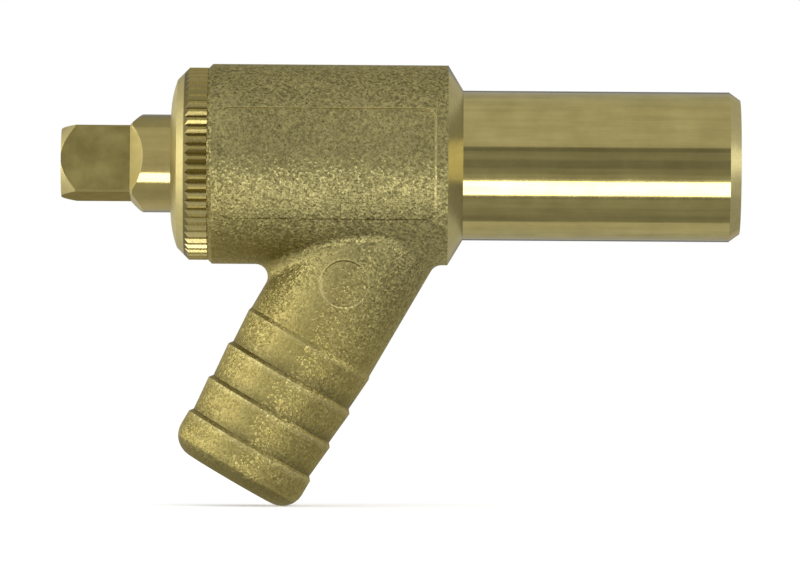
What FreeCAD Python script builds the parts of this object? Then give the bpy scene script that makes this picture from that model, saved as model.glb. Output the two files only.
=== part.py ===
import FreeCAD, Part
import os
import re

import Sketcher

# Drain cock for a 15 mm pipe: a brass forging with a plain spigot and a barbed hose tail,
# a knurled bonnet, and a square-headed screw-down spindle that carries the seat washer.
# The origin is the centre of the shoulder where the spigot leaves the barrel.
# +X runs out along the spigot, the hose tail falls towards -X and -Z, and the valve is shut.
# Lengths are in millimetres and angles in degrees.
SIZES = {
    # spigot that enters the pipe fitting
    "spigot_diameter": 15.0,
    "spigot_length": 27.7,
    "spigot_wall": 2.5,
    "spigot_chamfer_length": 1.1,
    "spigot_chamfer_depth": 0.8,
    # barrel of the forging
    "barrel_diameter": 20.0,
    "barrel_length": 25.5,
    "barrel_wall": 2.0,
    "barrel_end_chamfer": 0.45,
    "shoulder_length": 1.5,
    "panel_margin": 1.1,
    "panel_shoulder_margin": 2.75,
    "panel_half_angle": 33.7,
    "panel_depth": 0.1,
    "panel_corner": 1.2,
    # seat and chamber
    "seat_setback": 3.9,
    "seat_height": 0.8,
    "seat_land": 1.2,
    "throat_length": 1.0,
    "chamber_step": 1.25,
    # hose tail
    "tail_angle": 60.0,
    "tail_crossing": 4.88,
    "tail_length": 36.4,
    "tail_wall": 2.45,
    "tail_blend": 1.25,
    "neck_diameter": 13.65,
    "first_barb_rise": 0.12,
    "barb_rise": 0.2,
    "barb_drop": 0.12,
    "barb_pitch": 3.9,
    "barb_ramp": 0.4,
    "tip_barb_length": 4.25,
    "tip_radius": 2.3,
    "mark_place": 13.75,
    "mark_diameter": 4.7,
    "mark_height": 0.2,
    "mark_ease": 0.8,
    # bonnet
    "knurl_inset": 0.38,
    "knurl_depth": 0.36,
    "knurl_width": 0.78,
    "flange_thickness": 3.7,
    "flange_chamfer": 1.2,
    "dome_depth": 0.65,
    "dome_radius": 10.0,
    "bonnet_screw_length": 11.0,
    "bonnet_wall": 2.0,
    "bore_lead": 0.3,
    # bonnet seal
    "bonnet_seal_depth": 1.6,
    "bonnet_seal_step": 0.5,
    "bonnet_seal_cord": 1.26,
    # spindle
    "stop_step": 1.1,
    "spindle_reach": 10.95,
    "thread_pitch": 1.25,
    "lift_turns": 3.0,
    "stop_clearance": 0.1,
    "thread_lead": 0.6,
    "square_size": 6.75,
    "square_length": 6.9,
    "square_runout_angle": 49.0,
    "square_tilt": 8.0,
    "square_relief": 0.25,
    "tip_face_diameter": 6.8,
    "tip_chamfer_length": 1.45,
    "nose_length": 3.0,
    "nose_inset": 1.2,
    # spindle seal
    "spindle_seal_cord": 1.36,
    "spindle_seal_width": 1.9,
    "spindle_seal_margin": 0.4,
    # jumper, its pin and its washer
    "plate_clearance": 0.8,
    "plate_thickness": 1.4,
    "stem_diameter": 5.0,
    "stem_length": 5.5,
    "stem_groove_depth": 0.8,
    "pin_diameter": 1.4,
    "pin_float": 0.2,
    "stud_over": 0.5,
    "washer_thickness": 2.8,
    "washer_inset": 0.2,
    "washer_overlap": 0.55,
    "washer_ease": 0.3,
    "nut_ratio": 0.68,
    "nut_wall": 1.22,
    "nut_thickness": 2.0,
    # clearances
    "running_clearance": 0.05,
    "screw_clearance": 0.03,
    "seal_clearance": 0.02,
    "end_float": 0.05,
}

BARBS = 4
KNURLS = 60
FLATS = 4
HEX_SIDES = 6

# Places and radii that follow from the sizes.
BARREL = "barrel_diameter / 2"
SPIGOT = "spigot_diameter / 2"
INLET = f"({SPIGOT} - spigot_wall)"
BONNET_SCREW = f"({BARREL} - barrel_wall)"
CHAMBER = f"({BONNET_SCREW} - chamber_step)"
PLATE = f"({CHAMBER} - plate_clearance)"
WASHER = f"({PLATE} - washer_inset)"
SEAT_RIM = f"({WASHER} - washer_overlap)"
SEAT_BORE = f"({SEAT_RIM} - seat_land)"
SPINDLE_SCREW = f"({BONNET_SCREW} - bonnet_wall)"
SHANK = f"({SPINDLE_SCREW} - stop_step)"
NOSE = f"({SPINDLE_SCREW} - nose_inset)"
NECK = "neck_diameter / 2"
TAIL_BORE = f"({NECK} - barb_drop - tail_wall)"
KNURL = f"({BARREL} - knurl_inset)"

LIFT = "(thread_pitch * lift_turns)"
FACE = "(-barrel_length - flange_thickness)"
BONNET_END = "(bonnet_screw_length - barrel_length)"
SPINDLE_TIP = f"({FACE} - spindle_reach)"
STOP = f"({FACE} + {LIFT} + spindle_seal_width + 4 * spindle_seal_margin)"
SEAL_RIGHT = f"({STOP} - spindle_seal_margin)"
SCREW_LEFT = f"({STOP} + {LIFT} + stop_clearance)"
SEAT = "(-seat_setback)"
WASHER_BACK = f"({SEAT} - washer_thickness)"
PLATE_BACK = f"({WASHER_BACK} - plate_thickness)"
NOSE_END = f"({PLATE_BACK} - end_float)"
NOSE_ROOT = f"({NOSE_END} - nose_length)"
STEM_END = f"({PLATE_BACK} - stem_length)"
STEM_BORE_END = f"({STEM_END} - 4 * end_float)"
STEM = "stem_diameter / 2"
STEM_GROOVE = f"({STEM} - stem_groove_depth)"
PIN_X = f"(({NOSE_END} + {NOSE_ROOT}) / 2)"
PIN_Z = f"({STEM_GROOVE} + pin_float / 2 + pin_diameter / 2)"
FIRST_BARB = f"(tail_length - tip_barb_length - {BARBS - 1} * barb_pitch)"
NUT = f"(nut_ratio * {SEAT_BORE})"
STUD = f"({NUT} - nut_wall)"

doc = FreeCAD.newDocument("drain_cock")
sheet = doc.addObject("Spreadsheet::Sheet", "Sizes")
for row, (alias, number) in enumerate(SIZES.items(), 1):
    sheet.set(f"A{row}", alias)
    sheet.set(f"B{row}", str(number))
    sheet.setAlias(f"B{row}", alias)
doc.recompute()


def tied(text):
    """The expression with every size name pointed at its cell."""
    return re.sub(r"[a-z_]+", lambda m: "Sizes." + m.group() if m.group() in SIZES else m.group(), text)


def worth(text):
    """The present value of an expression of sizes."""
    return float(sheet.evalExpression(text))


def bind(item, **expressions):
    for name, text in expressions.items():
        item.setExpression(name, tied(text))


def new_body(label):
    body = doc.addObject("PartDesign::Body", label)
    body.Label = label
    return body


def new_sketch(body, name, role):
    sketch = body.newObject("Sketcher::SketchObject", name)
    plane = next(f for f in body.Origin.OriginFeatures if f.Role == role)
    sketch.AttachmentSupport = [(plane, "")]
    sketch.MapMode = "FlatFace"
    return sketch


def hold(sketch, kind, first, first_end, second, second_end, text):
    """Add one dimension to a sketch and tie it to the sizes."""
    index = sketch.addConstraint(
        Sketcher.Constraint(kind, first, first_end, second, second_end, worth(text)))
    sketch.setExpression(f"Constraints[{index}]", tied(text))


def hold_radius(sketch, item, text):
    index = sketch.addConstraint(Sketcher.Constraint("Radius", item, worth(text)))
    sketch.setExpression(f"Constraints[{index}]", tied(text))


def outline(body, name, role, corners, arcs=()):
    """A closed outline through corners given as pairs of expressions.

    arcs holds (corner, radius) for each side that is an arc bulging to the left of its run.
    """
    sketch = new_sketch(body, name, role)
    points = [FreeCAD.Vector(worth(x), worth(y), 0) for x, y in corners]
    radii = dict(arcs)
    count = len(points)
    for i, start in enumerate(points):
        end = points[(i + 1) % count]
        if i in radii:
            half = (end - start) * 0.5
            radius = worth(radii[i])
            left = FreeCAD.Vector(-half.y, half.x, 0).normalize()
            rise = radius - (radius ** 2 - half.Length ** 2) ** 0.5
            sketch.addGeometry(Part.Arc(end, start + half + left * rise, start), False)
        else:
            sketch.addGeometry(Part.LineSegment(start, end), False)
    ends = []
    for i, start in enumerate(points):
        same = sketch.Geometry[i].StartPoint.distanceToPoint(start) < 1e-6
        ends.append((1, 2) if same else (2, 1))
    for i in range(count):
        after = (i + 1) % count
        sketch.addConstraint(Sketcher.Constraint("Coincident", i, ends[i][1], after, ends[after][0]))
    for i, (x, y) in enumerate(corners):
        hold(sketch, "DistanceX", -1, 1, i, ends[i][0], x)
        hold(sketch, "DistanceY", -1, 1, i, ends[i][0], y)
    for i, text in radii.items():
        hold_radius(sketch, i, text)
    return sketch


def along_tail(sketch, axis, turn):
    """Turn a sketch so that its own X runs down the hose tail from the crossing of the axes."""
    sketch.AttachmentOffset = FreeCAD.Placement(
        FreeCAD.Vector(-worth("tail_crossing"), 0, 0), FreeCAD.Rotation(axis, worth(turn)))
    sketch.setExpression("AttachmentOffset.Base.x", tied("-tail_crossing"))
    sketch.setExpression("AttachmentOffset.Rotation.Angle", tied(turn))


def turn_profile(body, name, sketch, cut=False, angle=None):
    """Revolve a sketch about its own X, all round or evenly to both sides of its plane."""
    kind = "PartDesign::Groove" if cut else "PartDesign::Revolution"
    feature = body.newObject(kind, name)
    feature.Profile = sketch
    feature.ReferenceAxis = (sketch, ["H_Axis"])
    feature.Angle = 360
    if angle:
        feature.Midplane = True
        bind(feature, Angle=angle)
    doc.recompute()
    return feature


def ease_edges(body, kind, name, wanted, **size):
    """Fillet or chamfer the edges of the tip of a body that the test picks out."""
    base = body.Tip
    names = [f"Edge{i}" for i, edge in enumerate(base.Shape.Edges, 1) if wanted(base.Shape, edge)]
    if not names:
        raise ValueError(f"{name} found no edge")
    eased = body.newObject(f"PartDesign::{kind}", name)
    eased.Base = (base, names)
    bind(eased, **size)
    doc.recompute()


def cylinder_radii(shape, edge):
    """The radii of the cylinders that meet in an edge, the smaller first."""
    faces = shape.ancestorsOfType(edge, Part.Face)
    return sorted(f.Surface.Radius for f in faces if isinstance(f.Surface, Part.Cylinder))


def close(one, other):
    return abs(one - other) < 1e-4


# Forging: barrel and spigot turned about X, then the hose tail about its slanted axis.
valve_body = new_body("valve_body")
barrel_sketch = outline(valve_body, "barrel_outline", "XZ_Plane", [
    ("-barrel_length", "0"),
    ("-barrel_length", f"{BARREL} - barrel_end_chamfer"),
    ("barrel_end_chamfer - barrel_length", BARREL),
    ("-shoulder_length", BARREL),
    ("0", SPIGOT),
    ("spigot_length - spigot_chamfer_length", SPIGOT),
    ("spigot_length", f"{SPIGOT} - spigot_chamfer_depth"),
    ("spigot_length", "0"),
])
turn_profile(valve_body, "barrel_and_spigot", barrel_sketch)

tail_corners = [("0", "0"), ("0", NECK), (FIRST_BARB, NECK)]
for barb in range(BARBS):
    rise = "first_barb_rise" if barb == 0 else "barb_rise"
    start = f"{FIRST_BARB} + {barb} * barb_pitch"
    tail_corners.append((f"{start} + barb_ramp", f"{NECK} + {rise}"))
    if barb < BARBS - 1:
        tail_corners.append((f"{start} + barb_pitch", f"{NECK} - barb_drop"))
tail_corners.append(("tail_length", f"{NECK} + barb_rise"))
tail_corners.append(("tail_length", "0"))
tail_sketch = outline(valve_body, "tail_outline", "XZ_Plane", tail_corners)
along_tail(tail_sketch, FreeCAD.Vector(0, 0, 1), "180 + tail_angle")
turn_profile(valve_body, "hose_tail", tail_sketch)

barrel_radius = worth(BARREL)
neck_radius = worth(NECK)


def neck_meets_barrel(shape, edge):
    radii = cylinder_radii(shape, edge)
    return len(radii) == 2 and close(radii[0], neck_radius) and close(radii[1], barrel_radius)


ease_edges(valve_body, "Fillet", "tail_blend_fillet", neck_meets_barrel, Radius="tail_blend")

tail_turn = FreeCAD.Rotation(FreeCAD.Vector(0, 1, 0), worth("180 - tail_angle"))
tail_way = tail_turn.multVec(FreeCAD.Vector(1, 0, 0))
tail_tip = FreeCAD.Vector(-worth("tail_crossing"), 0, 0) + tail_way * worth("tail_length")
tip_radius = worth(f"{NECK} + barb_rise")


def tail_tip_rim(shape, edge):
    if not isinstance(edge.Curve, Part.Circle) or not close(edge.Curve.Radius, tip_radius):
        return False
    return edge.Curve.Center.distanceToPoint(tail_tip) < 1e-4


ease_edges(valve_body, "Fillet", "tail_tip_fillet", tail_tip_rim, Radius="tip_radius")

# Low round mark on the front of the neck: a stub cut back to follow the neck's curve, with a sloping rim.
mark_sketch = new_sketch(valve_body, "mark_outline", "XZ_Plane")
mark_sketch.addGeometry(Part.Circle(
    FreeCAD.Vector(worth("mark_place"), 0, 0), FreeCAD.Vector(0, 0, 1), worth("mark_diameter / 2")), False)
hold(mark_sketch, "DistanceX", -1, 1, 0, 3, "mark_place")
mark_sketch.addConstraint(Sketcher.Constraint("PointOnObject", 0, 3, -1))
hold_radius(mark_sketch, 0, "mark_diameter / 2")
along_tail(mark_sketch, FreeCAD.Vector(0, 0, 1), "180 + tail_angle")
mark = valve_body.newObject("PartDesign::Pad", "mark")
mark.Profile = mark_sketch
bind(mark, Length=f"{NECK} + 2 * mark_height")
doc.recompute()
mark_start = "mark_place - 0.55 * mark_diameter"
mark_end = "mark_place + 0.55 * mark_diameter"
mark_top = f"-{NECK} - mark_height"
mark_over = f"-{NECK} - 3 * mark_height - mark_diameter ^ 2 / 4 / ({NECK})"
mark_crown_sketch = outline(valve_body, "mark_crown_outline", "XY_Plane", [
    (mark_start, mark_over),
    (mark_end, mark_over),
    (mark_end, mark_top),
    (mark_start, mark_top),
])
along_tail(mark_crown_sketch, FreeCAD.Vector(0, 1, 0), "180 - tail_angle")
mark_sweep = f"2.5 * mark_diameter / ({NECK}) * 90 / pi"
turn_profile(valve_body, "mark_crown", mark_crown_sketch, cut=True, angle=mark_sweep)
mark_radius = worth("mark_diameter / 2")
crown_radius = worth(f"{NECK} + mark_height")


def mark_rim(shape, edge):
    radii = cylinder_radii(shape, edge)
    return len(radii) == 2 and close(radii[0], mark_radius) and close(radii[1], crown_radius)


ease_edges(valve_body, "Chamfer", "mark_chamfer", mark_rim, Size="mark_ease * mark_height")

# Waterway: inlet, raised seat, chamber, bonnet screw and seal recess in one stepped bore.
waterway_sketch = outline(valve_body, "waterway_outline", "XZ_Plane", [
    ("spigot_length", "0"),
    ("spigot_length", f"{INLET} + bore_lead"),
    ("spigot_length - bore_lead", INLET),
    ("0", INLET),
    ("-throat_length", SEAT_BORE),
    (SEAT, SEAT_BORE),
    (SEAT, SEAT_RIM),
    (f"{SEAT} + seat_height", SEAT_RIM),
    (f"{SEAT} + seat_height", CHAMBER),
    (f"{BONNET_END} + end_float", CHAMBER),
    (f"{BONNET_END} + end_float", BONNET_SCREW),
    ("bonnet_seal_depth - barrel_length", BONNET_SCREW),
    ("bonnet_seal_depth - barrel_length", f"{BONNET_SCREW} + bonnet_seal_step"),
    ("-barrel_length - 1", f"{BONNET_SCREW} + bonnet_seal_step"),
    ("-barrel_length - 1", "0"),
])
turn_profile(valve_body, "waterway", waterway_sketch, cut=True)

# The hose bore starts inside the chamber, clear of the seat.
TAIL_BORE_START = f"(0.93 * ({CHAMBER} - {TAIL_BORE} * cos(tail_angle)) / sin(tail_angle))"
hose_bore_sketch = outline(valve_body, "hose_bore_outline", "XZ_Plane", [
    (TAIL_BORE_START, "0"),
    (TAIL_BORE_START, TAIL_BORE),
    ("tail_length - bore_lead", TAIL_BORE),
    ("tail_length", f"{TAIL_BORE} + bore_lead"),
    ("tail_length", "0"),
])
along_tail(hose_bore_sketch, FreeCAD.Vector(0, 0, 1), "180 + tail_angle")
turn_profile(valve_body, "hose_bore", hose_bore_sketch, cut=True)

# Shallow bare panel on the front of the barrel, with rounded corners.
panel_sketch = outline(valve_body, "panel_outline", "XY_Plane", [
    ("panel_margin - barrel_length", f"-{BARREL} - 1"),
    ("-panel_shoulder_margin", f"-{BARREL} - 1"),
    ("-panel_shoulder_margin", f"panel_depth - {BARREL}"),
    ("panel_margin - barrel_length", f"panel_depth - {BARREL}"),
])
turn_profile(valve_body, "panel", panel_sketch, cut=True, angle="2 * panel_half_angle")


def panel_corner_edge(shape, edge):
    inner = worth(f"{BARREL} - panel_depth")
    ends = [(v.Point.y ** 2 + v.Point.z ** 2) ** 0.5 for v in edge.Vertexes]
    return len(ends) == 2 and close(min(ends), inner) and close(max(ends), barrel_radius)


ease_edges(valve_body, "Fillet", "panel_corner_fillet", panel_corner_edge, Radius="panel_corner")

# Bonnet: domed knurled flange, seal relief, screwed shank, smooth spindle bore and spindle screw bore.
knurled_bonnet = new_body("knurled_bonnet")
bonnet_sketch = outline(knurled_bonnet, "bonnet_outline", "XZ_Plane", [
    (FACE, f"{SHANK} + running_clearance"),
    (f"{FACE} + dome_depth", f"{KNURL} - flange_chamfer"),
    (f"{FACE} + dome_depth + flange_chamfer", KNURL),
    ("-barrel_length", KNURL),
    ("-barrel_length", f"{BONNET_SCREW} + bonnet_seal_step - 2 * seal_clearance - bonnet_seal_cord"),
    ("bonnet_seal_depth - barrel_length",
     f"{BONNET_SCREW} + bonnet_seal_step - 2 * seal_clearance - bonnet_seal_cord"),
    ("bonnet_seal_depth - barrel_length + thread_lead", f"{BONNET_SCREW} - screw_clearance"),
    (f"{BONNET_END} - thread_lead", f"{BONNET_SCREW} - screw_clearance"),
    (BONNET_END, f"{BONNET_SCREW} - screw_clearance - thread_lead"),
    (BONNET_END, f"{SPINDLE_SCREW} + running_clearance + bore_lead"),
    (f"{BONNET_END} - bore_lead", f"{SPINDLE_SCREW} + running_clearance"),
    (STOP, f"{SPINDLE_SCREW} + running_clearance"),
    (STOP, f"{SHANK} + running_clearance"),
], arcs=[(0, "dome_radius")])
turn_profile(knurled_bonnet, "bonnet_turning", bonnet_sketch)

groove_half = f"knurl_width * ({KNURL} + 1) / 2 / ({KNURL})"
groove_root = f"{KNURL} - knurl_depth"
groove_top = f"{groove_root} + knurl_depth * ({KNURL} + 1) / ({KNURL})"
knurl_sketch = outline(knurled_bonnet, "knurl_outline", "YZ_Plane", [
    ("0", groove_root),
    (groove_half, groove_top),
    (f"-{groove_half}", groove_top),
])
flange_start = FreeCAD.Vector(0, 0, worth("-barrel_length"))
knurl_sketch.AttachmentOffset = FreeCAD.Placement(flange_start, FreeCAD.Rotation())
knurl_sketch.setExpression("AttachmentOffset.Base.z", tied("-barrel_length"))
knurl = knurled_bonnet.newObject("PartDesign::Pocket", "knurl")
knurl.Profile = knurl_sketch
bind(knurl, Length="flange_thickness")
doc.recompute()
knurls = knurled_bonnet.newObject("PartDesign::PolarPattern", "knurls")
knurls.Originals = [knurl]
knurls.Axis = (bonnet_sketch, ["H_Axis"])
knurls.Angle = 360
knurls.Occurrences = KNURLS
knurled_bonnet.Tip = knurls
doc.recompute()

# Spindle: turned all over and relieved for the square's corners, then four flats milled with a sloping
# run-out, and the pin hole drilled.
spindle = new_body("spindle")
SEAL_LEFT = f"({SEAL_RIGHT} - spindle_seal_width)"
SEAL_ROOT = f"({SHANK} + running_clearance - 2 * seal_clearance - spindle_seal_cord)"
spindle_sketch = outline(spindle, "spindle_outline", "XZ_Plane", [
    (SPINDLE_TIP, "0"),
    (SPINDLE_TIP, "tip_face_diameter / 2"),
    (f"{SPINDLE_TIP} + tip_chamfer_length", f"{SHANK} - square_relief"),
    (f"{SPINDLE_TIP} + square_length", f"{SHANK} - square_relief"),
    (f"{SPINDLE_TIP} + square_length + square_relief", SHANK),
    (SEAL_LEFT, SHANK),
    (SEAL_LEFT, SEAL_ROOT),
    (SEAL_RIGHT, SEAL_ROOT),
    (SEAL_RIGHT, SHANK),
    (SCREW_LEFT, SHANK),
    (SCREW_LEFT, f"{SPINDLE_SCREW} - thread_lead"),
    (f"{SCREW_LEFT} + thread_lead", SPINDLE_SCREW),
    (f"{NOSE_ROOT} - thread_lead", SPINDLE_SCREW),
    (NOSE_ROOT, f"{SPINDLE_SCREW} - thread_lead"),
    (NOSE_ROOT, NOSE),
    (f"{NOSE_END} - bore_lead", NOSE),
    (NOSE_END, f"{NOSE} - bore_lead"),
    (NOSE_END, f"{STEM} + running_clearance"),
    (STEM_BORE_END, f"{STEM} + running_clearance"),
    (f"{STEM_BORE_END} - {STEM} * tan(31)", "0"),
])
turn_profile(spindle, "spindle_turning", spindle_sketch)

runout = f"({SHANK} + 1 - square_size / 2) / tan(square_runout_angle)"
flat_sketch = outline(spindle, "flat_outline", "XZ_Plane", [
    (f"{SPINDLE_TIP} - 1", "square_size / 2"),
    (f"{SPINDLE_TIP} + square_length", "square_size / 2"),
    (f"{SPINDLE_TIP} + square_length + {runout}", f"{SHANK} + 1"),
    (f"{SPINDLE_TIP} - 1", f"{SHANK} + 1"),
])
flat_sketch.AttachmentOffset = FreeCAD.Placement(
    FreeCAD.Vector(), FreeCAD.Rotation(FreeCAD.Vector(1, 0, 0), -worth("square_tilt")))
flat_sketch.setExpression("AttachmentOffset.Rotation.Angle", tied("-square_tilt"))
flat = spindle.newObject("PartDesign::Pocket", "flat")
flat.Profile = flat_sketch
flat.SideType = "Symmetric"
bind(flat, Length=f"4 * {SHANK}")
doc.recompute()
flats = spindle.newObject("PartDesign::PolarPattern", "flats")
flats.Originals = [flat]
flats.Axis = (spindle_sketch, ["H_Axis"])
flats.Angle = 360
flats.Occurrences = FLATS
spindle.Tip = flats
doc.recompute()

pin_hole_sketch = new_sketch(spindle, "pin_hole_outline", "XZ_Plane")
pin_hole_sketch.addGeometry(Part.Circle(
    FreeCAD.Vector(worth(PIN_X), worth(PIN_Z), 0), FreeCAD.Vector(0, 0, 1), worth("pin_diameter / 2")), False)
hold(pin_hole_sketch, "DistanceX", -1, 1, 0, 3, PIN_X)
hold(pin_hole_sketch, "DistanceY", -1, 1, 0, 3, PIN_Z)
hold_radius(pin_hole_sketch, 0, "pin_diameter / 2 + seal_clearance")
pin_hole = spindle.newObject("PartDesign::Pocket", "pin_hole")
pin_hole.Profile = pin_hole_sketch
pin_hole.SideType = "Symmetric"
bind(pin_hole, Length=f"4 * {SPINDLE_SCREW}")
doc.recompute()

# Jumper: washer stud, plate, and a grooved stem that turns in the spindle's nose.
jumper = new_body("jumper")
STUD_END = f"({SEAT} + nut_thickness + stud_over)"
jumper_sketch = outline(jumper, "jumper_outline", "XZ_Plane", [
    (STUD_END, "0"),
    (STUD_END, f"{STUD} - bore_lead"),
    (f"{STUD_END} - bore_lead", STUD),
    (WASHER_BACK, STUD),
    (WASHER_BACK, PLATE),
    (PLATE_BACK, PLATE),
    (PLATE_BACK, STEM),
    (f"{PIN_X} + pin_diameter / 2 + pin_float", STEM),
    (f"{PIN_X} + pin_diameter / 2 + pin_float", STEM_GROOVE),
    (f"{PIN_X} - pin_diameter / 2 - pin_float", STEM_GROOVE),
    (f"{PIN_X} - pin_diameter / 2 - pin_float", STEM),
    (f"{STEM_END} + bore_lead", STEM),
    (STEM_END, f"{STEM} - bore_lead"),
    (STEM_END, "0"),
])
turn_profile(jumper, "jumper_turning", jumper_sketch)

# Pin through the spindle's nose that rides in the jumper's groove.
jumper_pin = doc.addObject("Part::Cylinder", "jumper_pin")
jumper_pin.Label = "jumper_pin"
PIN_HALF = f"sqrt(({NOSE}) ^ 2 - ({PIN_Z} + pin_diameter / 2) ^ 2)"
jumper_pin.Placement = FreeCAD.Placement(FreeCAD.Vector(), FreeCAD.Rotation(FreeCAD.Vector(1, 0, 0), -90))
bind(jumper_pin, Radius="pin_diameter / 2", Height=f"2 * {PIN_HALF}")
jumper_pin.setExpression("Placement.Base.x", tied(PIN_X))
jumper_pin.setExpression("Placement.Base.y", tied(f"-{PIN_HALF}"))
jumper_pin.setExpression("Placement.Base.z", tied(PIN_Z))

# Rubber seat washer, eased at its rim.
seat_washer = new_body("seat_washer")
washer_sketch = outline(seat_washer, "washer_outline", "XZ_Plane", [
    (SEAT, f"{STUD} + screw_clearance"),
    (SEAT, f"{WASHER} - washer_ease"),
    (f"{SEAT} - washer_ease", WASHER),
    (f"{WASHER_BACK} + washer_ease", WASHER),
    (WASHER_BACK, f"{WASHER} - washer_ease"),
    (WASHER_BACK, f"{STUD} + screw_clearance"),
])
turn_profile(seat_washer, "washer_turning", washer_sketch)

# Hexagon nut that holds the washer, with turned corners.
washer_nut = new_body("washer_nut")
nut_sketch = new_sketch(washer_nut, "nut_outline", "YZ_Plane")
nut_sketch.AttachmentOffset = FreeCAD.Placement(FreeCAD.Vector(0, 0, worth(SEAT)), FreeCAD.Rotation())
nut_sketch.setExpression("AttachmentOffset.Base.z", tied(SEAT))
for side in range(HEX_SIDES):
    corners = [FreeCAD.Rotation(FreeCAD.Vector(0, 0, 1), 60 * (side + k)).multVec(
        FreeCAD.Vector(worth(f"{NUT} / cos(30)"), 0, 0)) for k in (0, 1)]
    nut_sketch.addGeometry(Part.LineSegment(corners[0], corners[1]), False)
for side in range(HEX_SIDES):
    nut_sketch.addConstraint(Sketcher.Constraint("Coincident", side, 2, (side + 1) % HEX_SIDES, 1))
for side in range(HEX_SIDES):
    hold(nut_sketch, "DistanceX", -1, 1, side, 1, f"{NUT} / cos(30) * cos(60 * {side})")
    hold(nut_sketch, "DistanceY", -1, 1, side, 1, f"{NUT} / cos(30) * sin(60 * {side})")
nut_blank = washer_nut.newObject("PartDesign::Pad", "nut_blank")
nut_blank.Profile = nut_sketch
bind(nut_blank, Length="nut_thickness")
doc.recompute()
nut_bore_sketch = outline(washer_nut, "nut_bore_outline", "XZ_Plane", [
    (f"{SEAT} - 1", "0"),
    (f"{SEAT} - 1", f"{STUD} + screw_clearance"),
    (f"{SEAT} + nut_thickness + 1", f"{STUD} + screw_clearance"),
    (f"{SEAT} + nut_thickness + 1", "0"),
])
turn_profile(washer_nut, "nut_bore", nut_bore_sketch, cut=True)
nut_corner_sketch = outline(washer_nut, "nut_corner_outline", "XZ_Plane", [
    (f"{SEAT} + nut_thickness", NUT),
    (f"{SEAT} + nut_thickness", f"{NUT} + 1"),
    (f"{SEAT} + nut_thickness - tan(30)", f"{NUT} + 1"),
])
turn_profile(washer_nut, "nut_corners", nut_corner_sketch, cut=True)


def seal_ring(label, place, inner, outer):
    """A round rubber ring about X between two radii."""
    ring = doc.addObject("Part::Torus", label)
    ring.Label = label
    ring.Placement = FreeCAD.Placement(FreeCAD.Vector(), FreeCAD.Rotation(FreeCAD.Vector(0, 1, 0), 90))
    bind(ring, Radius1=f"({inner} + {outer}) / 2", Radius2=f"({outer} - {inner}) / 2")
    ring.setExpression("Placement.Base.x", tied(place))
    return ring


BONNET_SEAL_RIM = f"({BONNET_SCREW} + bonnet_seal_step - seal_clearance)"
SPINDLE_SEAL_RIM = f"({SHANK} + running_clearance - seal_clearance)"
bonnet_o_ring = seal_ring(
    "bonnet_o_ring", "bonnet_seal_depth / 2 - barrel_length",
    f"({BONNET_SEAL_RIM} - bonnet_seal_cord)", BONNET_SEAL_RIM)
spindle_o_ring = seal_ring(
    "spindle_o_ring", f"({SEAL_LEFT} + {SEAL_RIGHT}) / 2",
    f"({SPINDLE_SEAL_RIM} - spindle_seal_cord)", SPINDLE_SEAL_RIM)

doc.recompute()
for item in doc.Objects:
    if "Invalid" in item.State or "Error" in item.State:
        raise ValueError(f"{item.Name} did not build")

os.makedirs("parts", exist_ok=True)
NODES = [valve_body, knurled_bonnet, bonnet_o_ring, spindle, spindle_o_ring,
         jumper, jumper_pin, seat_washer, washer_nut]
for node in NODES:
    shape = node.Shape
    if shape.isNull() or not shape.isValid() or len(shape.Solids) != 1:
        raise ValueError(f"{node.Label} is not one sound solid")
    shape.exportStep(f"parts/{node.Label}.step")
    print(node.Label, round(shape.Volume, 2), shape.BoundBox)
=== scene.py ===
import math

import bpy
from mathutils import Matrix, Vector


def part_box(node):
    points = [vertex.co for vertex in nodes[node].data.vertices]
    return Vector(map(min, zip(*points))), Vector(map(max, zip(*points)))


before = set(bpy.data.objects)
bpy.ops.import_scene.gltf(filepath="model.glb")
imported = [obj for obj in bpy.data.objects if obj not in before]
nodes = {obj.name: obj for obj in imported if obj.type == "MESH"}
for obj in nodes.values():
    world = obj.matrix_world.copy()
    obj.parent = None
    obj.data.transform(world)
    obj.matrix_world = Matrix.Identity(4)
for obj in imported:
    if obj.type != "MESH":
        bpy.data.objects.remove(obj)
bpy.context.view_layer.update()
scene = bpy.context.scene
scene.view_settings.view_transform = "Standard"

MM = 0.001

# The photograph's view: its width at the object, and where the camera stands and aims.
PHOTO_WIDTH = 80.08 * MM
CAMERA_DISTANCE = 1.0
CAMERA_AIM = Vector((-6.21, 0, -11.6)) * MM
CAMERA_ROLL = math.radians(0.4)
SENSOR_WIDTH = 36
CLIP_NEAR = 0.01
CLIP_FAR = 20

# The studio: the drum that carries the grey cards, the world and the floor.
DRUM_RADIUS = 0.5
WORLD_SEEN = 1.0
WORLD_LIGHT = 0.75
FLOOR_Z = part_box("valve_body")[0].z
FLOOR_HALF = 1.5
FLOOR_GREY = 0.93
FLOOR_ROUGHNESS = 0.9
FLOOR_GLOW = 0.3

# The hose tail's axis in millimetres, with its round mark and its barbs along it.
TAIL_START = (-4.88, 0.0, 0.0)
TAIL_WAY = (-0.5, 0.0, -0.8660254)
TAIL_SIDE = (0.8660254, 0.0, -0.5)
MARK_PLACE = 13.75
MARK_RADIUS = 2.35
MARK_FRONT_Y = (-3.0, -4.0)
# Where the tail turns golden and lighter towards its tip, as painted light.
TIP_LIGHT_PLACES = (9.0, 20.0)
FIRST_BARB = 20.45
BARB_PITCH = 3.9
BARB_CREST_RADII = (6.88, 6.98)
BARB_ROOT_RADII = (6.80, 6.70)

# The barrel's panel in millimetres, unrolled about X. Its half sizes leave out the corners' radius.
BARREL_RADIUS = 10.0
PANEL_CENTRE = -13.575
PANEL_HALF_LENGTH = 9.625
PANEL_HALF_HEIGHT = 4.68
PANEL_CORNER = 1.2
PANEL_RIGHT_X = (-4.4, -3.6)
PANEL_BOTTOM_ARC = (-5.2, -4.4)
PANEL_TOP_ARC = (3.0, 5.0)
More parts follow.
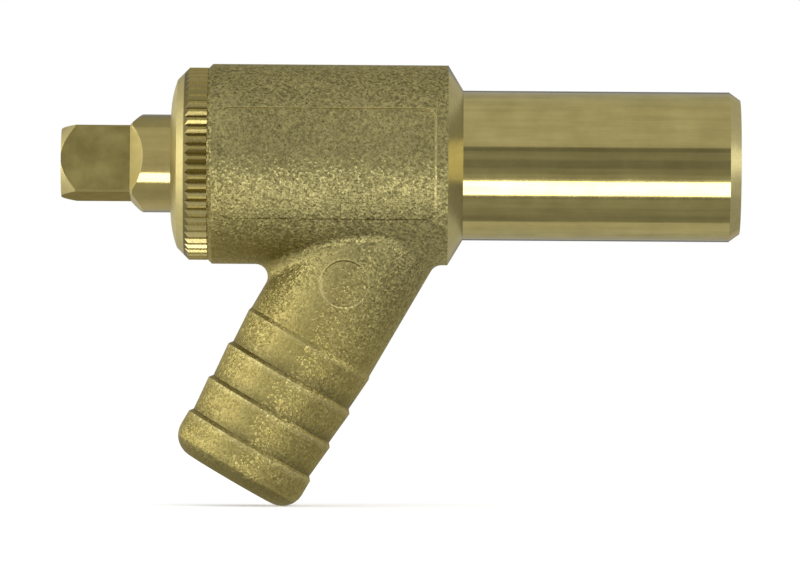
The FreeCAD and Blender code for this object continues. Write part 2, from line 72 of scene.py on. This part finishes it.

# The knurl's crests and groove bottoms, as radii in millimetres, and how far a flank turns to take
# the painted shade.
KNURL_CREST_RADII = (9.56, 9.60)
KNURL_ROOT_RADII = (9.36, 9.28)
SHADED_FLANK_FACING = (-0.2, -0.5)

# Where the finishes change on the body, in millimetres.
BODY_INSIDE_RADIUS = 9.45
HOSE_BORE_RADIUS = 4.75
BARREL_OUTSIDE_RADIUS = 10.02
FORGED_FROM_X = -25.03
FORGED_TO_X = -1.5
FAR_RIM_X = -25.0
SPIGOT_FROM_X = 0.01

# Where they change on the bonnet and on the spindle.
BONNET_FACE_X = -25.55
BONNET_BORE_RADIUS = 5.0
DOME_RADIUS = 9.3
DOME_RIM_RADIUS = 9.08
SQUARE_TIP_X = -38.6
SQUARE_END_X = -40
SQUARE_FROM_X = -33
RUN_OUT_FROM_X = -33.3
RUN_OUT_TO_X = -31.2
SQUARE_RADIUS = 4.5

# Linear colours of the brass finishes, of the painted light and shade on them, and of the rubber.
BLASTED_DARK = (0.085, 0.075, 0.029, 1)
BLASTED_LIGHT = (0.395, 0.346, 0.146, 1)
# Darker colour for the bottoms of the small craters: painted shade.
PIT_SHADE = (0.070, 0.060, 0.022, 1)
# Golden colour mixed into the tail towards its tip: painted light.
TIP_LIGHT = (0.300, 0.233, 0.056, 1)
# Lighter colour for the rims of the panel and the round mark, painted highlight, and for the barb
# crests, partly wear and partly painted highlight.
WEAR_AND_HIGHLIGHT = (0.40, 0.345, 0.150, 1)
# Darker colour for the barb roots and the knurl's groove bottoms: painted shade.
GROOVE_SHADE = (0.085, 0.072, 0.030, 1)
TURNED_DARK = (0.300, 0.252, 0.094, 1)
TURNED_LIGHT = (0.360, 0.306, 0.118, 1)
FACED_DARK = (0.395, 0.334, 0.136, 1)
FACED_LIGHT = (0.488, 0.417, 0.178, 1)
# Knurl flank colours: the second is the first darkened with painted shade.
PLAIN_FLANK = (0.352, 0.300, 0.126, 1)
SHADED_FLANK = (0.236, 0.195, 0.073, 1)
SPIGOT_DARK = (0.262, 0.219, 0.080, 1)
SPIGOT_LIGHT = (0.394, 0.336, 0.131, 1)
SHANK_DARK = (0.258, 0.210, 0.077, 1)
SHANK_LIGHT = (0.378, 0.311, 0.119, 1)
MILLED_DARK = (0.185, 0.153, 0.051, 1)
MILLED_LIGHT = (0.285, 0.239, 0.084, 1)
SATIN_DARK = (0.280, 0.244, 0.108, 1)
SATIN_LIGHT = (0.345, 0.300, 0.136, 1)
ROLLED_DARK = (0.212, 0.168, 0.054, 1)
ROLLED_LIGHT = (0.308, 0.250, 0.085, 1)
DULLED = (0.135, 0.110, 0.042, 1)
RUBBER_DARK = (0.010, 0.010, 0.011, 1)
RUBBER_LIGHT = (0.026, 0.026, 0.028, 1)

# Colours of the brass where it is seen at a slant.
BLASTED_EDGE = (0.70, 0.66, 0.54, 1)
CUT_EDGE = (0.64, 0.65, 0.68, 1)
DULL_EDGE = (0.60, 0.55, 0.40, 1)
MILLED_EDGE = (0.60, 0.52, 0.34, 1)

# The middle of a noise, and the range that most of it lies in.
NOISE_MIDDLE = (0.5, 0.5, 0.5)
NOISE_RANGE = (0.3, 0.7)


class Surface:
    """One node material with a Principled shader and short ways to add nodes, in millimetres."""

    def __init__(self, name, **sockets):
        self.material = bpy.data.materials.new(name)
        self.material.use_nodes = True
        self.tree = self.material.node_tree
        self.shader = self.tree.nodes["Principled BSDF"]
        for socket, value in sockets.items():
            self.shader.inputs[socket.replace("_", " ")].default_value = value
        place = self.tree.nodes.new("ShaderNodeTexCoord")
        self.place = self.vector("SCALE", place.outputs["Object"], Scale=1 / MM)

    def link(self, source, target):
        self.tree.links.new(source, target)

    def feed(self, node, index, value):
        if isinstance(value, (int, float, tuple)):
            node.inputs[index].default_value = value
        else:
            self.link(value, node.inputs[index])

    def vector(self, operation, first, second=None, third=None, **named):
        node = self.tree.nodes.new("ShaderNodeVectorMath")
        node.operation = operation
        for index, value in enumerate((first, second, third)):
            if value is not None:
                self.feed(node, index, value)
        for name, value in named.items():
            self.feed(node, name, value)
        return node.outputs["Value" if operation in ("LENGTH", "DOT_PRODUCT") else "Vector"]

    def math(self, operation, first, second=0.0, third=None):
        node = self.tree.nodes.new("ShaderNodeMath")
        node.operation = operation
        self.feed(node, 0, first)
        self.feed(node, 1, second)
        if third is not None:
            self.feed(node, 2, third)
        return node.outputs[0]

    def times(self, value, *others):
        for other in others:
            value = self.math("MULTIPLY", value, other)
        return value

    def weigh(self, *parts):
        """The sum of values, each times its share."""
        total = 0.0
        for value, share in parts:
            total = self.math("MULTIPLY_ADD", value, share, total)
        return total

    def gap(self, value, other):
        """How far apart two values are."""
        return self.math("ABSOLUTE", self.math("SUBTRACT", value, other))

    def split(self, vector):
        node = self.tree.nodes.new("ShaderNodeSeparateXYZ")
        self.link(vector, node.inputs[0])
        return node.outputs[0], node.outputs[1], node.outputs[2]

    def join(self, x, y, z):
        node = self.tree.nodes.new("ShaderNodeCombineXYZ")
        for index, value in enumerate((x, y, z)):
            self.feed(node, index, value)
        return node.outputs[0]

    def noise(self, place, scale, detail=3.0, roughness=0.6):
        node = self.tree.nodes.new("ShaderNodeTexNoise")
        self.link(place, node.inputs["Vector"])
        node.inputs["Scale"].default_value = scale
        node.inputs["Detail"].default_value = detail
        node.inputs["Roughness"].default_value = roughness
        return node.outputs["Fac"]

    def shifted(self, place, scale, reach):
        """A place moved about by noise."""
        node = self.tree.nodes.new("ShaderNodeTexNoise")
        self.link(place, node.inputs["Vector"])
        node.inputs["Scale"].default_value = scale
        shift = self.vector("SUBTRACT", node.outputs["Color"], NOISE_MIDDLE)
        return self.vector("MULTIPLY_ADD", shift, (reach, reach, reach), place)

    def cells(self, place, scale):
        node = self.tree.nodes.new("ShaderNodeTexVoronoi")
        self.link(place, node.inputs["Vector"])
        node.inputs["Scale"].default_value = scale
        return node.outputs["Distance"], node.outputs["Color"]

    def spread(self, value, low, high, to_low=0.0, to_high=1.0):
        """A value carried from low..high to to_low..to_high, and held at those ends."""
        node = self.tree.nodes.new("ShaderNodeMapRange")
        self.link(value, node.inputs["Value"])
        node.inputs["From Min"].default_value = low
        node.inputs["From Max"].default_value = high
        node.inputs["To Min"].default_value = to_low
        node.inputs["To Max"].default_value = to_high
        return node.outputs["Result"]

    def stretch(self, noise, to_low=0.0, to_high=1.0):
        return self.spread(noise, *NOISE_RANGE, to_low, to_high)

    def mix(self, factor, first, second):
        node = self.tree.nodes.new("ShaderNodeMix")
        node.data_type = "RGBA"
        colours = [socket for socket in node.inputs if socket.type == "RGBA"]
        self.feed(node, 0, factor)
        for socket, value in zip(colours, (first, second)):
            if isinstance(value, tuple):
                socket.default_value = value
            else:
                self.link(value, socket)
        return [socket for socket in node.outputs if socket.type == "RGBA"][0]

    def facing(self):
        return self.tree.nodes.new("ShaderNodeNewGeometry").outputs["Normal"]

    def tilt(self, colour, amount):
        """The surface's normal leaned by a random colour, for small flat facets."""
        lean = self.vector("SUBTRACT", colour, NOISE_MIDDLE)
        leaned = self.vector("MULTIPLY_ADD", lean, (amount, amount, amount), self.facing())
        return self.vector("NORMALIZE", leaned)

    def bump(self, height, depth, normal=None):
        node = self.tree.nodes.new("ShaderNodeBump")
        node.inputs["Strength"].default_value = 1.0
        node.inputs["Distance"].default_value = depth * MM
        self.link(height, node.inputs["Height"])
        if normal is not None:
            self.link(normal, node.inputs["Normal"])
        return node.outputs["Normal"]

    def finish(self, colour, roughness, normal):
        self.link(colour, self.shader.inputs["Base Color"])
        self.link(roughness, self.shader.inputs["Roughness"])
        self.link(normal, self.shader.inputs["Normal"])
        return self.material


def brass(name, edge=CUT_EDGE, bare=1.0):
    return Surface(name, Metallic=bare, Specular_Tint=edge)


def tail_light_and_wear(s, colour, grain):
    """Painted light on the tail: golden and lighter towards its tip, lighter barb crests (partly
    wear, partly painted highlight) and painted shade in the barb roots.
    """
    offset = s.vector("SUBTRACT", s.place, TAIL_START)
    along = s.vector("DOT_PRODUCT", offset, TAIL_WAY)
    ahead = s.vector("SCALE", TAIL_WAY, Scale=along)
    aside = s.vector("LENGTH", s.vector("SUBTRACT", offset, ahead))
    # Painted light: the tail turns golden and lighter towards its tip.
    colour = s.mix(s.spread(along, *TIP_LIGHT_PLACES, to_high=0.40), colour, TIP_LIGHT)
    barbed = s.spread(along, FIRST_BARB - 0.1, FIRST_BARB + 0.2)
    step = s.math("WRAP", s.math("SUBTRACT", along, FIRST_BARB), BARB_PITCH, 0.0)
    # Lighter barb crests: partly wear, partly painted highlight.
    lit_and_worn = s.times(s.spread(step, 0.15, 0.4), s.spread(step, 1.0, 0.5))
    crest = s.times(s.spread(aside, *BARB_CREST_RADII), lit_and_worn, barbed)
    crest = s.times(crest, s.spread(grain, 0.3, 0.6, to_low=0.15, to_high=0.7))
    # Painted shade in the barb roots.
    root = s.times(s.spread(aside, *BARB_ROOT_RADII, to_high=0.6), barbed)
    return s.mix(root, s.mix(crest, colour, WEAR_AND_HIGHLIGHT), GROOVE_SHADE)


def panel_rim_highlight(s):
    """How much painted highlight the rim of the barrel's panel gets: most on the right, less on
    top, none below.
    """
    x, y, z = s.split(s.place)
    arc = s.times(s.math("ARCTAN2", z, s.times(y, -1.0)), BARREL_RADIUS)
    beside = s.math("SUBTRACT", s.gap(x, PANEL_CENTRE), PANEL_HALF_LENGTH)
    above = s.math("SUBTRACT", s.math("ABSOLUTE", arc), PANEL_HALF_HEIGHT)
    outside = s.vector("LENGTH", s.vector("MAXIMUM", s.join(beside, above, 0.0), (0.0, 0.0, 0.0)))
    inside = s.math("MINIMUM", s.math("MAXIMUM", beside, above), 0.0)
    from_rim = s.gap(s.math("ADD", outside, inside), PANEL_CORNER)
    right = s.times(s.spread(x, *PANEL_RIGHT_X), s.spread(arc, *PANEL_BOTTOM_ARC))
    lit_and_worn = s.math("MAXIMUM", s.spread(arc, *PANEL_TOP_ARC, to_high=0.65), right)
    return s.times(s.spread(from_rim, 0.16, 0.06, to_high=0.85), lit_and_worn)


def mark_ring_highlight(s):
    """How much painted highlight the rim of the tail's round mark gets: more on the side towards
    the tip.
    """
    offset = s.vector("SUBTRACT", s.place, TAIL_START)
    below = s.math("SUBTRACT", s.vector("DOT_PRODUCT", offset, TAIL_WAY), MARK_PLACE)
    across = s.vector("DOT_PRODUCT", offset, TAIL_SIDE)
    from_mark = s.vector("LENGTH", s.join(below, across, 0.0))
    ring = s.spread(s.gap(from_mark, MARK_RADIUS), 0.22, 0.1)
    lit_and_worn = s.spread(below, -1.0, 1.0, to_low=0.45, to_high=0.85)
    return s.times(ring, lit_and_worn, s.spread(s.split(s.place)[1], *MARK_FRONT_Y))


def blasted_brass():
    """Shot-blasted forging: small craters with painted shade in them, speckle and soft patches,
    then painted light on the tail and painted highlights on the rims of the panel and the mark.
    """
    s = brass("blasted_brass", BLASTED_EDGE)
    crater, lean = s.cells(s.shifted(s.place, scale=4.0, reach=0.1), scale=4.8)
    facet, _, shine = s.split(lean)
    grain = s.noise(s.place, scale=3.0)
    patches = s.noise(s.place, scale=0.16, roughness=0.55)
    height = s.weigh((grain, 0.35), (crater, 0.4))
    tone = s.weigh((s.spread(grain, 0.35, 0.65), 0.25), (facet, 0.6), (s.stretch(patches), 0.15))
    colour = s.mix(tone, BLASTED_DARK, BLASTED_LIGHT)
    # Painted shade: the bottoms of the craters are darkened.
    colour = s.mix(s.spread(crater, 0.42, 0.16, to_high=0.6), colour, PIT_SHADE)
    colour = tail_light_and_wear(s, colour, grain)
    # Painted highlight on the rims of the panel and the round mark.
    colour = s.mix(s.math("MAXIMUM", panel_rim_highlight(s), mark_ring_highlight(s)), colour, WEAR_AND_HIGHLIGHT)
    roughness = s.spread(shine, 0.0, 1.0, to_low=0.38, to_high=0.54)
    return s.finish(colour, roughness, s.bump(height, depth=0.06, normal=s.tilt(lean, 0.32)))


def turned_brass(name, dark, light, rough, groove, pitch=9.0, dull_from=None, **metal):
    """Brass turned about X: fine rings, faint bands and stains, and dull beyond dull_from."""
    s = brass(name, **metal)
    x, y, z = s.split(s.place)
    radius = s.vector("LENGTH", s.join(0.0, y, z))
    rings = s.noise(s.join(s.math("ADD", x, radius), 0.0, 0.0), pitch, detail=4.0, roughness=0.7)
    stains = s.noise(s.place, scale=0.3, detail=4.0)
    streaks = s.noise(s.join(s.times(x, 0.06), y, z), scale=1.4)
    tone = s.weigh((s.stretch(stains), 0.5), (s.stretch(streaks), 0.5))
    colour = s.mix(tone, dark, light)
    if dull_from is not None:
        colour = s.mix(s.spread(radius, dull_from, dull_from + 0.08), colour, DULLED)
    mottle = s.weigh((stains, 0.5), (rings, 0.5))
    return s.finish(colour, s.stretch(mottle, *rough), s.bump(rings, depth=groove))


def milled_brass():
    """The spindle's flats, with straight cutter marks across them."""
    s = brass("milled_brass", MILLED_EDGE)
    x, y, z = s.split(s.place)
    marks = s.noise(s.join(x, s.times(y, 0.03), s.times(z, 0.03)), scale=7.0, roughness=0.7)
    stains = s.noise(s.place, scale=0.45)
    colour = s.mix(s.stretch(stains), MILLED_DARK, MILLED_LIGHT)
    return s.finish(colour, s.stretch(marks, 0.26, 0.36), s.bump(marks, depth=0.003))


def rolled_brass():
    """The knurl: brown crests, one flank plain, the other darkened with painted shade, and painted
    shade in the grooves.
    """
    s = brass("rolled_brass", DULL_EDGE)
    _, y, z = s.split(s.place)
    radius = s.vector("LENGTH", s.join(0.0, y, z))
    grain = s.noise(s.place, scale=5.0)
    crest = s.spread(radius, *KNURL_CREST_RADII)
    turnwise = s.vector("NORMALIZE", s.join(0.0, z, s.times(y, -1.0)))
    # Painted shade on the flank of each groove whose normal leans against the turnwise direction.
    shaded_side = s.spread(s.vector("DOT_PRODUCT", s.facing(), turnwise), *SHADED_FLANK_FACING)
    flank = s.mix(shaded_side, PLAIN_FLANK, SHADED_FLANK)
    colour = s.mix(crest, flank, s.mix(s.stretch(grain), ROLLED_DARK, ROLLED_LIGHT))
    # Painted shade in the knurl's groove bottoms.
    colour = s.mix(s.spread(radius, *KNURL_ROOT_RADII, to_high=0.12), colour, GROOVE_SHADE)
    roughness = s.spread(crest, 0.0, 1.0, to_low=0.24, to_high=0.46)
    roughness = s.math("ADD", roughness, s.stretch(grain, to_high=0.1))
    return s.finish(colour, roughness, s.bump(grain, depth=0.008))


def seal_rubber():
    s = Surface("black_rubber")
    grain = s.noise(s.place, scale=4.0)
    bloom = s.noise(s.place, scale=0.5)
    colour = s.mix(s.stretch(bloom), RUBBER_DARK, RUBBER_LIGHT)
    return s.finish(colour, s.stretch(grain, 0.45, 0.62), s.bump(grain, depth=0.01))


blasted = blasted_brass()
bright = turned_brass(
    "turned_brass_bright", SPIGOT_DARK, SPIGOT_LIGHT, rough=(0.07, 0.13), groove=0.0012
)
turned = turned_brass("turned_brass", TURNED_DARK, TURNED_LIGHT, rough=(0.17, 0.25), groove=0.003)
shank = turned_brass(
    "turned_brass_shank", SHANK_DARK, SHANK_LIGHT, rough=(0.10, 0.16), groove=0.002
)
satin = turned_brass(
    "turned_brass_satin", SATIN_DARK, SATIN_LIGHT, rough=(0.22, 0.30), groove=0.004,
    edge=DULL_EDGE, bare=0.72,
)
faced = turned_brass(
    "faced_brass", FACED_DARK, FACED_LIGHT, rough=(0.40, 0.50), groove=0.006, pitch=6.0
)
domed = turned_brass(
    "faced_brass_dome", FACED_DARK, FACED_LIGHT, rough=(0.40, 0.50), groove=0.006, pitch=6.0,
    dull_from=DOME_RIM_RADIUS,
)
milled = milled_brass()
rolled = rolled_brass()
rubber = seal_rubber()


# The material slots of the three nodes that have more than one finish.
FORGING, SPIGOT, BORE, CONE, FAR_RIM = range(5)
SCREW, DOME, KNURL = range(3)
SHANK, FLAT, SLOPE = range(3)


def wear(node, *materials):
    """Give a node its materials, in the order of its slots."""
    mesh = nodes[node].data
    mesh.materials.clear()
    for material in materials:
        mesh.materials.append(material)
    return mesh.polygons


def body_finish(face):
    """The body's slot for a face. The cones are the shoulder and the spigot's lead chamfer."""
    point = face.center / MM
    out = Vector((0, point.y, point.z))
    offset = point - Vector(TAIL_START)
    aside = offset - Vector(TAIL_WAY) * offset.dot(Vector(TAIL_WAY))
    inward = face.normal.dot(out) < 0
    endwise = abs(face.normal.x) > 0.99
    if out.length < BODY_INSIDE_RADIUS and (inward or endwise):
        return BORE
    if aside.length < HOSE_BORE_RADIUS and face.normal.dot(aside) < 0:
        return BORE
    if out.length > BARREL_OUTSIDE_RADIUS or FORGED_FROM_X < point.x < FORGED_TO_X:
        return FORGING
    if point.x < FAR_RIM_X:
        return FAR_RIM if face.normal.x < -0.9 else FORGING
    return SPIGOT if point.x > SPIGOT_FROM_X and abs(face.normal.x) < 0.3 else CONE


def bonnet_finish(face):
    """The bonnet's slot for a face: what lies inside the valve goes with the screw."""
    point = face.center / MM
    radius = math.hypot(point.y, point.z)
    if point.x > BONNET_FACE_X or radius < BONNET_BORE_RADIUS:
        return SCREW
    outward = face.normal.x < -0.5 and (radius < DOME_RADIUS or face.normal.x < -0.65)
    return DOME if outward else KNURL


def spindle_finish(face):
    """The spindle's slot for a face: the tip and the flats' run-outs are its slopes."""
    point = face.center / MM
    on_tip = point.x < SQUARE_TIP_X and face.normal.x < -0.3
    on_run_out = RUN_OUT_FROM_X < point.x < RUN_OUT_TO_X and face.normal.x < -0.4
    if on_tip or on_run_out:
        return SLOPE
    if point.x >= SQUARE_FROM_X or abs(face.normal.x) >= 0.02:
        return SHANK
    out = Vector((0, point.y, point.z))
    off_round = point.x > SQUARE_END_X and face.normal.dot(out.normalized()) < 0.995
    return FLAT if off_round or out.length < SQUARE_RADIUS else SHANK


for face in wear("valve_body", blasted, bright, turned, satin, faced):
    face.material_index = body_finish(face)
for face in wear("knurled_bonnet", turned, domed, rolled):
    face.material_index = bonnet_finish(face)
for face in wear("spindle", shank, milled, faced):
    face.material_index = spindle_finish(face)
for name in ("jumper", "jumper_pin", "washer_nut"):
    wear(name, turned)
for name in ("bonnet_o_ring", "spindle_o_ring", "seat_washer"):
    wear(name, rubber)


def around(degrees):
    """A way seen from the object, about X: 0 is towards the camera, 90 is up, 180 is behind."""
    angle = math.radians(degrees)
    return Vector((0, -math.cos(angle), math.sin(angle)))


def flags(name, bands, left, right):
    """Grey cards on a drum about X that only reflections see; each band is (from, to, grey)."""
    corners = []
    faces = []
    mesh = bpy.data.meshes.new(name)
    for start, end, grey in bands:
        first = len(corners)
        for degrees in (start, end):
            way = around(degrees) * DRUM_RADIUS
            corners += [(left, way.y, way.z), (right, way.y, way.z)]
        faces.append((first, first + 1, first + 3, first + 2))
        shade = bpy.data.materials.new(f"{name}_grey")
        shade.use_nodes = True
        glow = shade.node_tree.nodes.new("ShaderNodeEmission")
        glow.inputs["Color"].default_value = (grey, grey, grey, 1)
        target = shade.node_tree.nodes["Material Output"].inputs["Surface"]
        shade.node_tree.links.new(glow.outputs[0], target)
        mesh.materials.append(shade)
    mesh.from_pydata(corners, [], faces)
    for index, face in enumerate(mesh.polygons):
        face.material_index = index
    drum = bpy.data.objects.new(name, mesh)
    scene.collection.objects.link(drum)
    drum.visible_camera = False
    drum.visible_diffuse = False
    drum.visible_shadow = False


def softbox(name, way, distance, width, height, radiance):
    """An area light of even radiance that faces the object from the given way."""
    light = bpy.data.lights.new(name, "AREA")
    light.shape = "RECTANGLE"
    light.size = width
    light.size_y = height
    light.energy = radiance * math.pi * width * height
    lamp = bpy.data.objects.new(name, light)
    way = Vector(way)
    lamp.location = way.normalized() * distance
    lamp.rotation_euler = way.to_track_quat("Z", "Y").to_euler()
    scene.collection.objects.link(lamp)
    lamp.visible_camera = False


# Each window: its name, the way it stands, its distance, width and height, and its radiance.
WINDOWS = [
    ("front_window", around(-35), 0.42, 0.13, 0.162, 8.0),
    ("left_near_window", (-0.94, -0.342, 0.04), 0.5, 0.19, 0.28, 3.6),
    ("left_far_window", (-0.94, 0.342, 0.04), 0.5, 0.19, 0.28, 3.6),
    ("left_front_window", (-0.7, -0.6, 0.38), 0.6, 0.4, 0.4, 1.6),
    ("right_front_window", (0.884, -0.451, 0.105), 0.6, 0.13, 0.56, 5.8),
    ("right_window", (0.958, -0.239, 0.156), 0.6, 0.14, 0.21, 1.25),
]
for window in WINDOWS:
    softbox(*window)

FRONT_BANDS = [
    (28.5, 21.5, 0.36),
    (21.5, 9, 0.54),
    (9, -4, 0.41),
    (-4, -13, 0.52),
    (-13, -20.5, 0.68),
    (-47.5, -52, 0.40),
    (-52, -68, 0.60),
    (-68, -82, 0.53),
    (-82, -96, 0.47),
]
flags("front_flags", FRONT_BANDS, left=-0.025, right=0.22)
flags("left_flags", [(-47.5, -96, 0.78)], left=-0.22, right=-0.025)
flags("right_flags", [(5, -65, 0.28), (-65, -150, 0.6)], left=0.22, right=0.8)
flags("far_right_flags", [(-30, -150, 0.42)], left=0.8, right=1.6)
flags("top_flags", [(95, 165, 0.68)], left=-0.30, right=-0.03)
flags("back_flags", [(156, 202, 0.4)], left=-0.13, right=0.13)

# A white world for what the camera sees and what metal shows, and a little less light from it.
world = bpy.data.worlds.new("studio")
scene.world = world
world.use_nodes = True
tree = world.node_tree
path = tree.nodes.new("ShaderNodeLightPath")
seen = path.outputs["Is Camera Ray"]
for ray in ("Is Glossy Ray", "Is Transmission Ray"):
    either = tree.nodes.new("ShaderNodeMath")
    either.operation = "MAXIMUM"
    tree.links.new(seen, either.inputs[0])
    tree.links.new(path.outputs[ray], either.inputs[1])
    seen = either.outputs[0]
level = tree.nodes.new("ShaderNodeMapRange")
level.inputs["To Min"].default_value = WORLD_LIGHT
level.inputs["To Max"].default_value = WORLD_SEEN
tree.links.new(seen, level.inputs["Value"])
sky = tree.nodes["Background"]
sky.inputs["Color"].default_value = (1, 1, 1, 1)
tree.links.new(level.outputs["Result"], sky.inputs["Strength"])

# A pale floor that keeps the object's shadow.
floor_mesh = bpy.data.meshes.new("floor")
floor_corners = [(-1, -1), (1, -1), (1, 1), (-1, 1)]
floor_mesh.from_pydata(
    [(x * FLOOR_HALF, y * FLOOR_HALF, 0) for x, y in floor_corners], [], [(0, 1, 2, 3)]
)
floor = bpy.data.objects.new("floor", floor_mesh)
floor.location = (0, 0, FLOOR_Z)
scene.collection.objects.link(floor)
pale = bpy.data.materials.new("pale_floor")
pale.use_nodes = True
pale_tree = pale.node_tree
pale_shader = pale_tree.nodes["Principled BSDF"]
pale_shader.inputs["Base Color"].default_value = (FLOOR_GREY, FLOOR_GREY, FLOOR_GREY, 1)
pale_shader.inputs["Roughness"].default_value = FLOOR_ROUGHNESS
pale_shader.inputs["Specular IOR Level"].default_value = 0.0
pale_shader.inputs["Emission Color"].default_value = (1, 1, 1, 1)
pale_path = pale_tree.nodes.new("ShaderNodeLightPath")
pale_glow = pale_tree.nodes.new("ShaderNodeMath")
pale_glow.operation = "MULTIPLY"
pale_glow.inputs[1].default_value = FLOOR_GLOW
pale_tree.links.new(pale_path.outputs["Is Camera Ray"], pale_glow.inputs[0])
pale_tree.links.new(pale_glow.outputs[0], pale_shader.inputs["Emission Strength"])
floor.visible_glossy = False
floor.visible_shadow = False
floor_mesh.materials.append(pale)

camera_data = bpy.data.cameras.new("camera")
camera = bpy.data.objects.new("camera", camera_data)
camera_data.sensor_width = SENSOR_WIDTH
camera_data.lens = SENSOR_WIDTH * CAMERA_DISTANCE / PHOTO_WIDTH
camera_data.clip_start = CLIP_NEAR
camera_data.clip_end = CLIP_FAR
scene.collection.objects.link(camera)
camera.matrix_world = (
    Matrix.Translation(CAMERA_AIM + Vector((0, -CAMERA_DISTANCE, 0)))
    @ Matrix.Rotation(math.radians(90), 4, "X")
    @ Matrix.Rotation(CAMERA_ROLL, 4, "Z")
)
scene.camera = camera
